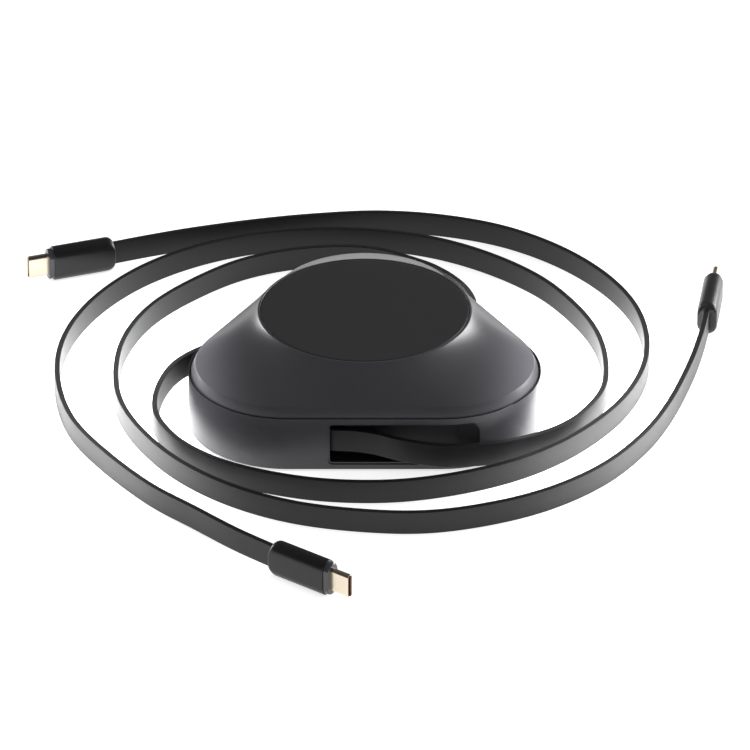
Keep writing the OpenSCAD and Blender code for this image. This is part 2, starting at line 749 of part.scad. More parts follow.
lower_housing();
upper_housing();
charging_pad();
base_pad();
case_screws();
charging_coil();
ferrite_disc();
coil_carrier();
carrier_screws();
main_board();
board_screws();
controller_chips();
power_inductors();
capacitors();
spool_screws();
spool(0);  // spool_front
spool(1);  // spool_right
spool(2);  // spool_left
spring_cover(0);  // spring_cover_front
spring_cover(1);  // spring_cover_right
spring_cover(2);  // spring_cover_left
mainspring(0);  // mainspring_front
mainspring(1);  // mainspring_right
mainspring(2);  // mainspring_left
slip_ring(0);  // slip_ring_front
slip_ring(1);  // slip_ring_right
slip_ring(2);  // slip_ring_left
brush_block(0);  // brush_block_front
brush_block(1);  // brush_block_right
brush_block(2);  // brush_block_left
pawl(0);  // pawl_front
pawl(1);  // pawl_right
pawl(2);  // pawl_left
pawl_spring(0);  // pawl_spring_front
pawl_spring(1);  // pawl_spring_right
pawl_spring(2);  // pawl_spring_left
cord_turns(0);  // cord_turns_front
cord_turns(1);  // cord_turns_right
cord_turns(2);  // cord_turns_left
cord(0);  // cord_front
cord(1);  // cord_right
cord(2);  // cord_left
plug_grip(0);  // plug_grip_front
plug_grip(1);  // plug_grip_right
plug_grip(2);  // plug_grip_left
plug_collar(0);  // plug_collar_front
plug_collar(1);  // plug_collar_right
plug_collar(2);  // plug_collar_left
plug_shell(0);  // plug_shell_front
plug_shell(1);  // plug_shell_right
plug_shell(2);  // plug_shell_left
plug_insert(0);  // plug_insert_front
plug_insert(1);  // plug_insert_right
plug_insert(2);  // plug_insert_left
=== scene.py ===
import math

import bmesh
import bpy
from mathutils import Matrix, Vector
from mathutils.geometry import intersect_point_line


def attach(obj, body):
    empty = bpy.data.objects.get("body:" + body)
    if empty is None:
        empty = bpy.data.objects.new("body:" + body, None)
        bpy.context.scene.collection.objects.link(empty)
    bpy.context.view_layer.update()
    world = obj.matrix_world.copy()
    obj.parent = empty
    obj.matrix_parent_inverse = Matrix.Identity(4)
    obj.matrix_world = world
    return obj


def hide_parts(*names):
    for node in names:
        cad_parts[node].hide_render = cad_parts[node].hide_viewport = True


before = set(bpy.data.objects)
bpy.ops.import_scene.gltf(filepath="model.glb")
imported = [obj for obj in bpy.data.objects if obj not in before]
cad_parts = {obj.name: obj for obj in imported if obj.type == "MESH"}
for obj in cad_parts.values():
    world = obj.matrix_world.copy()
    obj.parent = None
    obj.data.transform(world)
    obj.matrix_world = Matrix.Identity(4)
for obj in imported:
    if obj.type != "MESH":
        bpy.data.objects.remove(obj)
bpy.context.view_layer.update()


# The studio: a matt white table that goes on to the horizon under a white sky, two
# softboxes low behind at the sides, two small gridded ones close over the table,
# and a camera with a long lens that looks down on the station from in front.
def linear(hex_colour):
    """An sRGB hex colour as the linear numbers that a socket takes."""
    parts = [int(hex_colour[i:i + 2], 16) / 255 for i in (1, 3, 5)]
    return [c / 12.92 if c < 0.04045 else ((c + 0.055) / 1.055) ** 2.4 for c in parts] + [1.0]


def add(tree, kind, inputs=None, **settings):
    """Adds a node, makes its settings, and fills its inputs with values or other sockets."""
    node = tree.nodes.new(kind)
    for name, value in settings.items():
        setattr(node, name, value)
    for name, value in (inputs or {}).items():
        if isinstance(value, bpy.types.NodeSocket):
            tree.links.new(value, node.inputs[name])
        else:
            node.inputs[name].default_value = value
    return node


scene = bpy.context.scene
scene.view_settings.view_transform = "Standard"

look_at = Vector((0.0034, 0.0146, 0.0008))
camera_distance = 2.4356
camera_elevation = math.radians(29.706)
camera_data = bpy.data.cameras.new("camera")
camera_data.lens = 349.1
camera_data.clip_end = 20
camera = bpy.data.objects.new("camera", camera_data)
camera.location = look_at + camera_distance * Vector(
    (0, -math.cos(camera_elevation), math.sin(camera_elevation)))
camera.rotation_euler = (math.pi / 2 - camera_elevation, 0, 0)
scene.collection.objects.link(camera)
scene.camera = camera

# Each softbox: place, the point that it faces, width, height, power and spread in
# degrees. The open ones show as highlights on the neck of the shell. The gridded
# ones brighten the table beside the station, which its upright faces mirror, and
# don't show in reflections themselves.
open_spread = 180
softboxes = {
    "left rim": ((-0.79, 0.61, 0.12), (0, 0, 0.02), 0.36, 0.24, 3.6, open_spread),
    "right rim": ((0.88, 0.47, 0.25), (0, 0, 0.02), 0.68, 0.46, 12.5, open_spread),
    "left table": ((-0.084, -0.01, 0.060), (-0.084, -0.01, 0), 0.04, 0.11, 0.13, 90),
    "right table": ((0.082, -0.01, 0.060), (0.082, -0.01, 0), 0.04, 0.11, 0.14, 90),
}
for name, (place, faces, width, height, power, spread) in softboxes.items():
    lamp = bpy.data.lights.new(name + " softbox", "AREA")
    lamp.shape = "RECTANGLE"
    lamp.size = width
    lamp.size_y = height
    lamp.energy = power
    lamp.spread = math.radians(spread)
    box = bpy.data.objects.new(name + " softbox", lamp)
    box.location = place
    box.rotation_euler = (Vector(faces) - Vector(place)).to_track_quat("-Z", "Y").to_euler()
    box.visible_camera = False
    box.visible_glossy = spread == open_spread
    scene.collection.objects.link(box)

# The sky is white to the camera, and a soft fill to matt surfaces. In reflections
# it is white at the horizon behind and dim above it and in front, as in a studio
# with black flags hung over the set.
sky_fill = 0.62
flag_foot = 0.20
flag_level = 0.10
world = bpy.data.worlds.new("studio")
world.use_nodes = True
scene.world = world
tree = world.node_tree
tree.nodes.clear()
ray = add(tree, "ShaderNodeLightPath")
way = add(tree, "ShaderNodeTexCoord")
way = add(tree, "ShaderNodeSeparateXYZ", {0: way.outputs["Generated"]})
overhead = add(tree, "ShaderNodeMapRange",
               {"Value": way.outputs["Z"], "From Min": 0.0, "From Max": flag_foot, "To Min": 1.0,
                "To Max": flag_level}, interpolation_type="SMOOTHSTEP")
behind = add(tree, "ShaderNodeMapRange",
             {"Value": way.outputs["Y"], "From Min": -0.4, "From Max": 0.3, "To Min": flag_level,
              "To Max": 1.0})
mirrored = add(tree, "ShaderNodeMath", {0: overhead.outputs[0], 1: behind.outputs[0]},
               operation="MULTIPLY")
level = add(tree, "ShaderNodeMix",
            {"Factor": ray.outputs["Is Glossy Ray"], "A": sky_fill, "B": mirrored.outputs[0]})
seen = add(tree, "ShaderNodeMath",
           {0: ray.outputs["Is Camera Ray"], 1: ray.outputs["Is Transmission Ray"]}, operation="MAXIMUM")
level = add(tree, "ShaderNodeMath", {0: seen.outputs[0], 1: level.outputs[0]}, operation="MAXIMUM")
sky = add(tree, "ShaderNodeBackground", {"Color": (1, 1, 1, 1), "Strength": level.outputs[0]})
add(tree, "ShaderNodeOutputWorld", {"Surface": sky.outputs[0]})

# The table stays a hair below the station's foot. Its paper glows a little, so that
# it is white to the camera and in reflections, and still takes a faint shadow.
table_half = 6.0
table_top = -0.00005
glow_seen = 0.68
glow_mirrored = 0.9
table_mesh = bpy.data.meshes.new("table")
table_mesh.from_pydata([(x * table_half, y * table_half, table_top)
                        for x, y in ((-1, -1), (1, -1), (1, 1), (-1, 1))], [], [(0, 1, 2, 3)])
table = bpy.data.objects.new("table", table_mesh)
scene.collection.objects.link(table)
# Matt white paper that almost burns out
paper = bpy.data.materials.new("white_paper")
paper.use_nodes = True
tree = paper.node_tree
tree.nodes.clear()
ray = add(tree, "ShaderNodeLightPath")
seen = add(tree, "ShaderNodeMath",
           {0: ray.outputs["Is Camera Ray"], 1: ray.outputs["Is Transmission Ray"]}, operation="MAXIMUM")
seen = add(tree, "ShaderNodeMath", {0: seen.outputs[0], 1: glow_seen}, operation="MULTIPLY")
glow = add(tree, "ShaderNodeMath",
           {0: ray.outputs["Is Glossy Ray"], 1: glow_mirrored, 2: seen.outputs[0]},
           operation="MULTIPLY_ADD")
white = add(tree, "ShaderNodeEmission", {"Color": (1, 1, 1, 1), "Strength": glow.outputs[0]})
matt = add(tree, "ShaderNodeBsdfDiffuse", {"Color": linear("#e8e8e8")})
both = add(tree, "ShaderNodeAddShader", {0: matt.outputs[0], 1: white.outputs[0]})
add(tree, "ShaderNodeOutputMaterial", {"Surface": both.outputs[0]})
table_mesh.materials.append(paper)


# The three flat cords: a soft thermoplastic jacket, extruded as an 8 by 1.8 mm
# band, that stands on its edge. Each runs from the drum of its reel out through
# its slot and lies round the station in a loose spiral.
sides = ("front", "right", "left")
cord_width = 0.008
cord_thick = 0.0018
cord_edge = 0.0002
cord_edge_steps = 5
ring_step = 0.0016

# Routes of the lower edge of each cord. The outlet runs from the drum to just
# outside the front slot, and is turned about the middle for the other two.
outlet = [
    (-0.0325, -0.035, 0.0062), (-0.025, -0.0386, 0.0062), (-0.0175, -0.042, 0.0062),
    (-0.0105, -0.0442, 0.0062), (-0.003, -0.0449, 0.0062), (0.004, -0.047, 0.0062),
    (0.0095, -0.0496, 0.0061), (0.015, -0.0514, 0.0058),
]
runs = {
    "front": [
        (0.0245, -0.052, 0.0047), (0.0315, -0.0505, 0.0038), (0.038, -0.0485, 0.003),
        (0.045, -0.0455, 0.0022), (0.0515, -0.0415, 0.0014), (0.058, -0.037, 0.0007),
        (0.065, -0.031, 0.0002), (0.072, -0.022, 0), (0.079, -0.0065, 0), (0.0805, 0.012, 0),
        (0.078, 0.032, 0), (0.071, 0.051, 0), (0.0595, 0.07, 0), (0.043, 0.086, 0),
        (0.024, 0.0975, 0), (0.003, 0.1035, 0), (-0.018, 0.1045, 0), (-0.039, 0.1005, 0),
        (-0.0585, 0.0915, 0), (-0.076, 0.0775, 0), (-0.0895, 0.0595, 0), (-0.0985, 0.039, 0),
        (-0.1025, 0.0175, 0), (-0.1015, -0.005, 0), (-0.096, -0.027, 0), (-0.085, -0.0475, 0),
        (-0.07, -0.0685, 0), (-0.055, -0.0845, 0.0005), (-0.0415, -0.0995, 0.0014),
        (-0.029, -0.1115, 0.0022),
    ],
    "right": [
        (0.0365, 0.046, 0.0047), (0.035, 0.0545, 0.0032), (0.032, 0.064, 0.0016),
        (0.0265, 0.0735, 0.0006), (0.0185, 0.0815, 0.0001), (0.001, 0.091, 0), (-0.021, 0.0905, 0),
        (-0.0415, 0.0825, 0), (-0.059, 0.0675, 0), (-0.0725, 0.05, 0), (-0.0805, 0.0295, 0),
        (-0.083, 0.008, 0), (-0.081, -0.0135, 0), (-0.0735, -0.0335, 0), (-0.061, -0.053, 0),
        (-0.044, -0.069, 0), (-0.024, -0.08, 0), (-0.002, -0.0855, 0), (0.02, -0.0865, 0),
        (0.0415, -0.081, 0), (0.061, -0.071, 0), (0.0785, -0.0555, 0), (0.092, -0.0355, 0),
        (0.101, -0.015, 0.0002), (0.1085, 0.009, 0.0009), (0.113, 0.028, 0.0017),
        (0.1155, 0.0425, 0.0022),
    ],
    "left": [
        (-0.0575, 0.009, 0.0052), (-0.0625, 0.0045, 0.0042), (-0.066, -0.001, 0.003),
        (-0.0685, -0.008, 0.0016), (-0.0695, -0.015, 0.0006), (-0.069, -0.022, 0.0001),
        (-0.0665, -0.03, 0), (-0.0595, -0.042, 0), (-0.047, -0.0535, 0), (-0.031, -0.0615, 0),
        (-0.012, -0.0665, 0), (0.009, -0.067, 0), (0.029, -0.0625, 0), (0.048, -0.054, 0),
        (0.0645, -0.0415, 0), (0.078, -0.0255, 0), (0.0875, -0.0085, 0), (0.0935, 0.0115, 0),
        (0.0945, 0.0325, 0), (0.0905, 0.0535, 0), (0.081, 0.0735, 0), (0.0665, 0.0915, 0),
        (0.048, 0.1055, 0), (0.027, 0.1135, 0), (0.005, 0.1165, 0), (-0.017, 0.1145, 0),
        (-0.0385, 0.11, 0.0001), (-0.059, 0.1033, 0.0006), (-0.074, 0.0965, 0.0014),
        (-0.0865, 0.09, 0.0022),
    ],
}
# Where each cord's plug points, in degrees counter-clockwise from the X axis
plug_heading = {"front": -37, "right": 82, "left": 200}


def side_turn(side):
    """The turn that takes the front wall to the given side."""
    return Matrix.Rotation(math.radians(120 * sides.index(side)), 4, "Z")


def geometry_tree(name, sizes):
    """A geometry tree with a geometry input, one named input for each size, and its two end nodes."""
    tree = bpy.data.node_groups.new(name, "GeometryNodeTree")
    tree.interface.new_socket("Geometry", in_out="INPUT", socket_type="NodeSocketGeometry")
    for size, kind in sizes.items():
        tree.interface.new_socket(size, in_out="INPUT", socket_type="NodeSocket" + kind)
    tree.interface.new_socket("Geometry", in_out="OUTPUT", socket_type="NodeSocketGeometry")
    return tree, add(tree, "NodeGroupInput").outputs


def end_tree(tree, geometry, material):
    """Closes a tree: real geometry, the given material, and the output."""
    real = add(tree, "GeometryNodeRealizeInstances", {"Geometry": geometry})
    dressed = add(tree, "GeometryNodeSetMaterial", {"Geometry": real.outputs[0], "Material": material})
    add(tree, "NodeGroupOutput", {"Geometry": dressed.outputs[0]})


def grow(name, data, tree, values):
    """Runs a tree on curve or mesh data and returns its result as a plain mesh object."""
    seed = bpy.data.objects.new(name + "_seed", data)
    scene.collection.objects.link(seed)
    modifier = seed.modifiers.new("tree", "NODES")
    modifier.node_group = tree
    for item in tree.interface.items_tree:
        if item.in_out == "INPUT" and item.name in values:
            modifier[item.identifier] = values[item.name]
    seed.update_tag()
    bpy.context.view_layer.update()
    shown = seed.evaluated_get(bpy.context.evaluated_depsgraph_get())
    mesh = bpy.data.meshes.new_from_object(shown)
    mesh.name = name
    bpy.data.objects.remove(seed)
    piece = bpy.data.objects.new(name, mesh)
    scene.collection.objects.link(piece)
    return piece


def moulded(name, colour, roughness, ior=1.5, grain_mm=0.3, grain_depth_mm=0.01, uneven=0.06,
            coordinates="Object"):
    """A plain moulded finish: fine grain in the surface, slightly uneven gloss and tone."""
    gloss_range = 0.04
    material = bpy.data.materials.new(name)
    material.use_nodes = True
    tree = material.node_tree
    tree.nodes.clear()
    place = add(tree, "ShaderNodeTexCoord")
    grain = add(tree, "ShaderNodeTexNoise",
                {"Vector": place.outputs[coordinates], "Scale": 1000 / grain_mm, "Detail": 3.0})
    cloud = add(tree, "ShaderNodeTexNoise",
                {"Vector": place.outputs[coordinates], "Scale": 45.0, "Detail": 2.0})
    tone = add(tree, "ShaderNodeMapRange",
               {"Value": cloud.outputs["Fac"], "To Min": 1 - uneven, "To Max": 1 + uneven})
    shade = add(tree, "ShaderNodeVectorMath", {0: linear(colour)[:3], "Scale": tone.outputs[0]},
                operation="SCALE")
    gloss = add(tree, "ShaderNodeMapRange",
                {"Value": grain.outputs["Fac"], "To Min": roughness - gloss_range,
                 "To Max": roughness + gloss_range})
    bump = add(tree, "ShaderNodeBump",
               {"Height": grain.outputs["Fac"], "Strength": 1.0, "Distance": grain_depth_mm / 1000})
    surface = add(tree, "ShaderNodeBsdfPrincipled",
                  {"Base Color": shade.outputs[0], "Roughness": gloss.outputs[0], "IOR": ior,
                   "Normal": bump.outputs[0]})
    add(tree, "ShaderNodeOutputMaterial", {"Surface": surface.outputs[0]})
    return material


# Black elastomer, drawn smooth: a satin skin that goes grey where it mirrors the table
cord_jacket = moulded("cord_tpe", "#161617", 0.42, ior=1.42, grain_mm=0.5, grain_depth_mm=0.004,
                      coordinates="UV")

tree, sizes = geometry_tree("flat_cord", {"Width": "Float", "Thickness": "Float", "Edge": "Float",
                                          "Ring step": "Float"})
line = add(tree, "GeometryNodeCurveSplineType", {"Curve": sizes["Geometry"]}, spline_type="CATMULL_ROM")
line = add(tree, "GeometryNodeResampleCurve", {"Curve": line.outputs[0], "Length": sizes["Ring step"]},
           mode="LENGTH")
line = add(tree, "GeometryNodeSetCurveNormal", {"Curve": line.outputs[0]}, mode="Z_UP")
along = add(tree, "GeometryNodeSplineParameter")
on_line = add(tree, "GeometryNodeCaptureAttribute", {"Geometry": line.outputs[0]})
on_line.capture_items.new("FLOAT", "Along")
tree.links.new(along.outputs["Length"], on_line.inputs["Along"])
band = add(tree, "GeometryNodeCurvePrimitiveQuadrilateral",
           {"Width": sizes["Thickness"], "Height": sizes["Width"]})
band = add(tree, "GeometryNodeFilletCurve",
           {"Curve": band.outputs[0], "Count": cord_edge_steps, "Radius": sizes["Edge"]}, mode="POLY")
across = add(tree, "GeometryNodeInputPosition")
on_band = add(tree, "GeometryNodeCaptureAttribute", {"Geometry": band.outputs[0]})
on_band.capture_items.new("VECTOR", "Across")
tree.links.new(across.outputs[0], on_band.inputs["Across"])
# The jacket's coordinates run along the cord and up its side
skin = add(tree, "GeometryNodeCurveToMesh",
           {"Curve": on_line.outputs[0], "Profile Curve": on_band.outputs[0], "Fill Caps": True})
height = add(tree, "ShaderNodeSeparateXYZ", {0: on_band.outputs["Across"]})
place = add(tree, "ShaderNodeCombineXYZ", {"X": on_line.outputs["Along"], "Y": height.outputs["Y"]})
skin = add(tree, "GeometryNodeStoreNamedAttribute",
           {"Geometry": skin.outputs[0], "Name": "UVMap", "Value": place.outputs[0]},
           data_type="FLOAT2", domain="CORNER")
skin = add(tree, "GeometryNodeSetShadeSmooth", {"Geometry": skin.outputs[0]})
end_tree(tree, skin.outputs[0], cord_jacket)
flat_cord = tree

band_points = 4 * (cord_edge_steps + 1)
cords = {}
for side in sides:
    points = [side_turn(side) @ Vector(p) for p in outlet] + [Vector(p) for p in runs[side]]
    curve = bpy.data.curves.new("cord_line_" + side, "CURVE")
    curve.dimensions = "3D"
    spline = curve.splines.new("POLY")
    spline.points.add(len(points) - 1)
    for point, p in zip(spline.points, points):
        point.co = (p.x, p.y, p.z + cord_width / 2, 1)
    piece = grow("flat_cord_" + side, curve, flat_cord,
                 {"Width": cord_width, "Thickness": cord_thick, "Edge": cord_edge, "Ring step": ring_step})
    crisp = piece.modifiers.new("crisp", "WEIGHTED_NORMAL")
    crisp.keep_sharp = True
    rings = [v.co for v in piece.data.vertices]
    centres = [sum(rings[i:i + band_points], Vector()) / band_points
               for i in range(0, len(rings), band_points)]
    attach(piece, "housing")
    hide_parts("cord_" + side)
    cords[side] = (piece, centres)


# The upper housing: one ABS shell, moulded in a fine texture. It rises from the
# rounded triangle of the wall to the round rim of the pad. A tongue inside its
# edge seats in the wall, and three case screws come up into its bosses.

# Dark graphite plastic with a soft sheen: highlights blur along the neck and shoulder
graphite = moulded("graphite_abs", "#414145", 0.35, ior=1.53, grain_mm=0.25, grain_depth_mm=0.006)
corner_dist = 0.0292
corner_r = 0.033
z_seam = 0.0196
z_rim = 0.034
rim_r = 0.0355
pad_r = 0.0345
pad_gap = 0.0002
land_w = 0.0004
groove_w = 0.0006
groove_d = 0.001
shoulder_w = 0.0014
shoulder_h = 0.003
flare_w = 0.004
flare_h = 0.005
rim_cut = 0.0003
rim_ease = 0.0001
edge_ease = 0.00012
ledge_depth = 0.0014
ledge_thick = 0.0018
ledge_r = 0.026
under_r = 0.031
under_step = 0.0004
shell_thick = 0.0016
tongue_r = 0.0305
tongue_thick = 0.0012
tongue_depth = 0.0009
slope_steps = 56
inner_slope_steps = 14
shell_sides = 240
same_point = 1e-7


def slope(u, corner, rim, low, high):
    """A level of the slope, from the shoulder (0) to the rim (1): a curve that flares out below the rim."""
    return (1 - (1 - u) ** 2, corner, rim + flare_w * 2 * (1 - u) / (2 - u),
            (1 - u) ** 2 * low + 2 * u * (1 - u) * (high - flare_h) + u * u * high)


def shell_levels():
    """Levels of the shell: share of circle, corner radius, circle radius and height."""
    edge_r = corner_r - land_w - groove_w
    slope_r = edge_r - shoulder_w
    well_r = pad_r + pad_gap
    z_slope = z_seam + shoulder_h
    z_step = z_seam - groove_d
    z_ledge = z_rim - ledge_depth
    z_under = z_ledge - ledge_thick
    z_tongue = z_step - tongue_depth
    levels = [
        (0, edge_r, 0, z_step),
        (0, edge_r, 0, z_seam - edge_ease),
        (0, edge_r - edge_ease * 0.2, 0, z_seam + edge_ease),
        (0, slope_r + edge_ease * 0.5, 0, z_slope - edge_ease),
        (0, slope_r, 0, z_slope),
    ]
    levels += [slope(k / slope_steps, slope_r, rim_r, z_slope, z_rim - rim_cut)
               for k in range(1, slope_steps + 1)]
    levels += [
        (1, 0, rim_r - rim_cut * 0.3, z_rim - rim_cut * 0.3),
        (1, 0, rim_r - rim_cut, z_rim),
        (1, 0, well_r + rim_ease, z_rim),
        (1, 0, well_r, z_rim - rim_ease),
        (1, 0, well_r, z_ledge),
        (1, 0, ledge_r, z_ledge),
        (1, 0, ledge_r, z_under),
        (1, 0, under_r, z_under),
    ]
    levels += [slope(k / inner_slope_steps, slope_r - shell_thick, rim_r - shell_thick,
                     z_slope - shell_thick, z_under + under_step)
               for k in range(inner_slope_steps - 1, -1, -1)]
    levels += [
        (0, tongue_r - tongue_thick, 0, z_tongue),
        (0, tongue_r, 0, z_tongue),
        (0, tongue_r, 0, z_step),
    ]
    return levels + levels[:1]


tree, sizes = geometry_tree("triangle_to_circle", {"Corner distance": "Float", "Sides": "Int"})
levels_there = add(tree, "GeometryNodeAttributeDomainSize", {"Geometry": sizes["Geometry"]})
columns = add(tree, "ShaderNodeMath", {0: sizes["Sides"], 1: 1.0}, operation="ADD")
grid = add(tree, "GeometryNodeMeshGrid",
           {"Vertices X": columns.outputs[0], "Vertices Y": levels_there.outputs["Point Count"]})
# Each point's level and turn about the middle, from its place in the grid
index = add(tree, "GeometryNodeInputIndex")
row = add(tree, "ShaderNodeMath", {0: index.outputs[0], 1: levels_there.outputs["Point Count"]},
          operation="MODULO")
column = add(tree, "ShaderNodeMath", {0: index.outputs[0], 1: levels_there.outputs["Point Count"]},
             operation="DIVIDE")
column = add(tree, "ShaderNodeMath", {0: column.outputs[0]}, operation="FLOOR")
turn = add(tree, "ShaderNodeMath", {0: column.outputs[0], 1: sizes["Sides"]}, operation="DIVIDE")
turn = add(tree, "ShaderNodeMath", {0: turn.outputs[0], 1: math.tau}, operation="MULTIPLY")
# Sizes of the level: the positions of the tree's input hold radii and height
where = add(tree, "GeometryNodeInputPosition")
at_level = add(tree, "GeometryNodeSampleIndex",
               {"Geometry": sizes["Geometry"], "Value": where.outputs[0], "Index": row.outputs[0]},
               data_type="FLOAT_VECTOR")
radii = add(tree, "ShaderNodeSeparateXYZ", {0: at_level.outputs[0]})
share = add(tree, "GeometryNodeInputNamedAttribute", {"Name": "share"}, data_type="FLOAT")
share = add(tree, "GeometryNodeSampleIndex",
            {"Geometry": sizes["Geometry"], "Value": share.outputs["Attribute"], "Index": row.outputs[0]},
            data_type="FLOAT")
# Angle from the nearest corner, and from the middle of the nearest flat
from_corner = add(tree, "ShaderNodeMath", {0: turn.outputs[0], 1: math.tau - math.pi / 6}, operation="ADD")
from_corner = add(tree, "ShaderNodeMath", {0: from_corner.outputs[0], 1: math.tau / 3}, operation="MODULO")
from_corner = add(tree, "ShaderNodeMath", {0: from_corner.outputs[0], 1: math.pi / 3}, operation="SUBTRACT")
from_corner = add(tree, "ShaderNodeMath", {0: from_corner.outputs[0]}, operation="ABSOLUTE")
from_flat = add(tree, "ShaderNodeMath", {0: math.pi / 3, 1: from_corner.outputs[0]}, operation="SUBTRACT")
# Radius on a flat
reach = add(tree, "ShaderNodeMath", {0: sizes["Corner distance"], 1: 0.5, 2: radii.outputs["X"]},
            operation="MULTIPLY_ADD")
cosine = add(tree, "ShaderNodeMath", {0: from_flat.outputs[0]}, operation="COSINE")
flat_radius = add(tree, "ShaderNodeMath", {0: reach.outputs[0], 1: cosine.outputs[0]}, operation="DIVIDE")
# Radius on a corner's arc
sine = add(tree, "ShaderNodeMath", {0: from_corner.outputs[0]}, operation="SINE")
aside = add(tree, "ShaderNodeMath", {0: sine.outputs[0], 1: sizes["Corner distance"]}, operation="MULTIPLY")
aside = add(tree, "ShaderNodeMath", {0: aside.outputs[0], 1: aside.outputs[0]}, operation="MULTIPLY")
radius_2 = add(tree, "ShaderNodeMath", {0: radii.outputs["X"], 1: radii.outputs["X"]},
               operation="MULTIPLY")
root = add(tree, "ShaderNodeMath", {0: radius_2.outputs[0], 1: aside.outputs[0]}, operation="SUBTRACT")
root = add(tree, "ShaderNodeMath", {0: root.outputs[0]}, operation="SQRT")
cosine = add(tree, "ShaderNodeMath", {0: from_corner.outputs[0]}, operation="COSINE")
arc_radius = add(tree, "ShaderNodeMath",
                 {0: cosine.outputs[0], 1: sizes["Corner distance"], 2: root.outputs[0]},
                 operation="MULTIPLY_ADD")
# The arc takes over where the flat ends
flat_half = add(tree, "ShaderNodeMath", {0: sizes["Corner distance"], 1: math.sin(math.pi / 3)},
                operation="MULTIPLY")
flat_half = add(tree, "ShaderNodeMath", {0: flat_half.outputs[0], 1: reach.outputs[0]}, operation="ARCTAN2")
on_arc = add(tree, "ShaderNodeMath", {0: from_flat.outputs[0], 1: flat_half.outputs[0]},
             operation="GREATER_THAN")
radius = add(tree, "ShaderNodeMix", {"Factor": on_arc.outputs[0], "A": flat_radius.outputs[0],
                                     "B": arc_radius.outputs[0]})
# From the triangle to the circle, by the level's share
radius = add(tree, "ShaderNodeMix", {"Factor": share.outputs[0], "A": radius.outputs[0],
                                     "B": radii.outputs["Y"]})
cosine = add(tree, "ShaderNodeMath", {0: turn.outputs[0]}, operation="COSINE")
sine = add(tree, "ShaderNodeMath", {0: turn.outputs[0]}, operation="SINE")
x = add(tree, "ShaderNodeMath", {0: radius.outputs[0], 1: cosine.outputs[0]}, operation="MULTIPLY")
y = add(tree, "ShaderNodeMath", {0: radius.outputs[0], 1: sine.outputs[0]}, operation="MULTIPLY")
place = add(tree, "ShaderNodeCombineXYZ", {"X": x.outputs[0], "Y": y.outputs[0], "Z": radii.outputs["Z"]})
skin = add(tree, "GeometryNodeSetPosition", {"Geometry": grid.outputs[0], "Position": place.outputs[0]})
skin = add(tree, "GeometryNodeMergeByDistance", {"Geometry": skin.outputs[0], "Distance": same_point})
skin = add(tree, "GeometryNodeSetShadeSmooth", {"Geometry": skin.outputs[0]})
end_tree(tree, skin.outputs[0], graphite)
triangle_to_circle = tree


def face_out(piece):
    """Closes a piece where its skin meets itself, and points its faces outwards."""
    faces = bmesh.new()
    faces.from_mesh(piece.data)
    bmesh.ops.remove_doubles(faces, verts=faces.verts, dist=same_point)
    bmesh.ops.recalc_face_normals(faces, faces=faces.faces)
    faces.to_mesh(piece.data)
    faces.free()


def crease(piece, degrees):
    """Keeps edges sharper than the given angle crisp, and the rest smooth."""
    faces = bmesh.new()
    faces.from_mesh(piece.data)
    for face in faces.faces:
        face.smooth = True
    for edge in faces.edges:
        edge.smooth = len(edge.link_faces) == 2 and edge.calc_face_angle() < math.radians(degrees)
    faces.to_mesh(piece.data)
    faces.free()


def loft(name, levels):
    """A skin through levels of the rounded triangle, as a plain mesh piece."""
    data = bpy.data.meshes.new(name + "_levels")
    data.from_pydata([level[1:] for level in levels], [], [])
    shares = data.attributes.new("share", "FLOAT", "POINT")
    for i, level in enumerate(levels):
        shares.data[i].value = level[0]
    piece = grow(name, data, triangle_to_circle, {"Corner distance": corner_dist, "Sides": shell_sides})
    face_out(piece)
    return piece


def ring_at(faces, middle, radius, height, steps):
    """A level ring of points about an upright axis, or one point where the radius is nought."""
    if radius == 0:
        return [faces.verts.new((middle.x, middle.y, height))]
    return [faces.verts.new((middle.x + radius * math.cos(math.tau * i / steps),
                             middle.y + radius * math.sin(math.tau * i / steps), height))
            for i in range(steps)]


def join_rings(faces, rings):
    """Joins each ring of points to the next with faces."""
    for low, high in zip(rings, rings[1:]):
        steps = max(len(low), len(high))
        for i in range(steps):
            j = (i + 1) % steps
            corners = [low[i % len(low)], low[j % len(low)], high[j % len(high)], high[i % len(high)]]
            faces.faces.new(list(dict.fromkeys(corners)))


boss_place = Vector((0.003, -0.033, 0))
boss_r = 0.0032
boss_bore_r = 0.00115
boss_top = z_rim - 0.0030
boss_sides = 32


def add_bosses(piece):
    """Adds the shell's three bosses, which take the case screws, as closed tubes inside it."""
    faces = bmesh.new()
    faces.from_mesh(piece.data)
    outline = [(boss_bore_r, z_seam), (boss_r, z_seam), (boss_r, boss_top), (boss_bore_r, boss_top)]
    for side in sides:
        middle = side_turn(side) @ boss_place
        rings = [ring_at(faces, middle, radius, height, boss_sides) for radius, height in outline]
        join_rings(faces, rings + rings[:1])
    bmesh.ops.recalc_face_normals(faces, faces=faces.faces)
    faces.to_mesh(piece.data)
    faces.free()


shell = loft("upper_shell", shell_levels())
add_bosses(shell)
crease(shell, 40)
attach(shell, "housing")
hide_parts("upper_housing")


# The lower housing: one ABS moulding with the wall, the floor, the three slots
# and their channels, the reel posts and the bosses of the case screws. Its outer
# face is textured like the shell, and the faces inside the slots are painted darker as shade.

# Painted shade: a deep, dull black on the faces inside the slots, where the shade falls
graphite_painted_shade = moulded("graphite_abs_painted_slot_shade", "#121213", 0.60, ior=1.53, grain_mm=0.4)
# How far inside the wall's outline a face must lie to take the painted shade
painted_shade_depth = 0.0007
wall_ease = 0.00022
wall_ease_steps = 3
sharp_from = 32


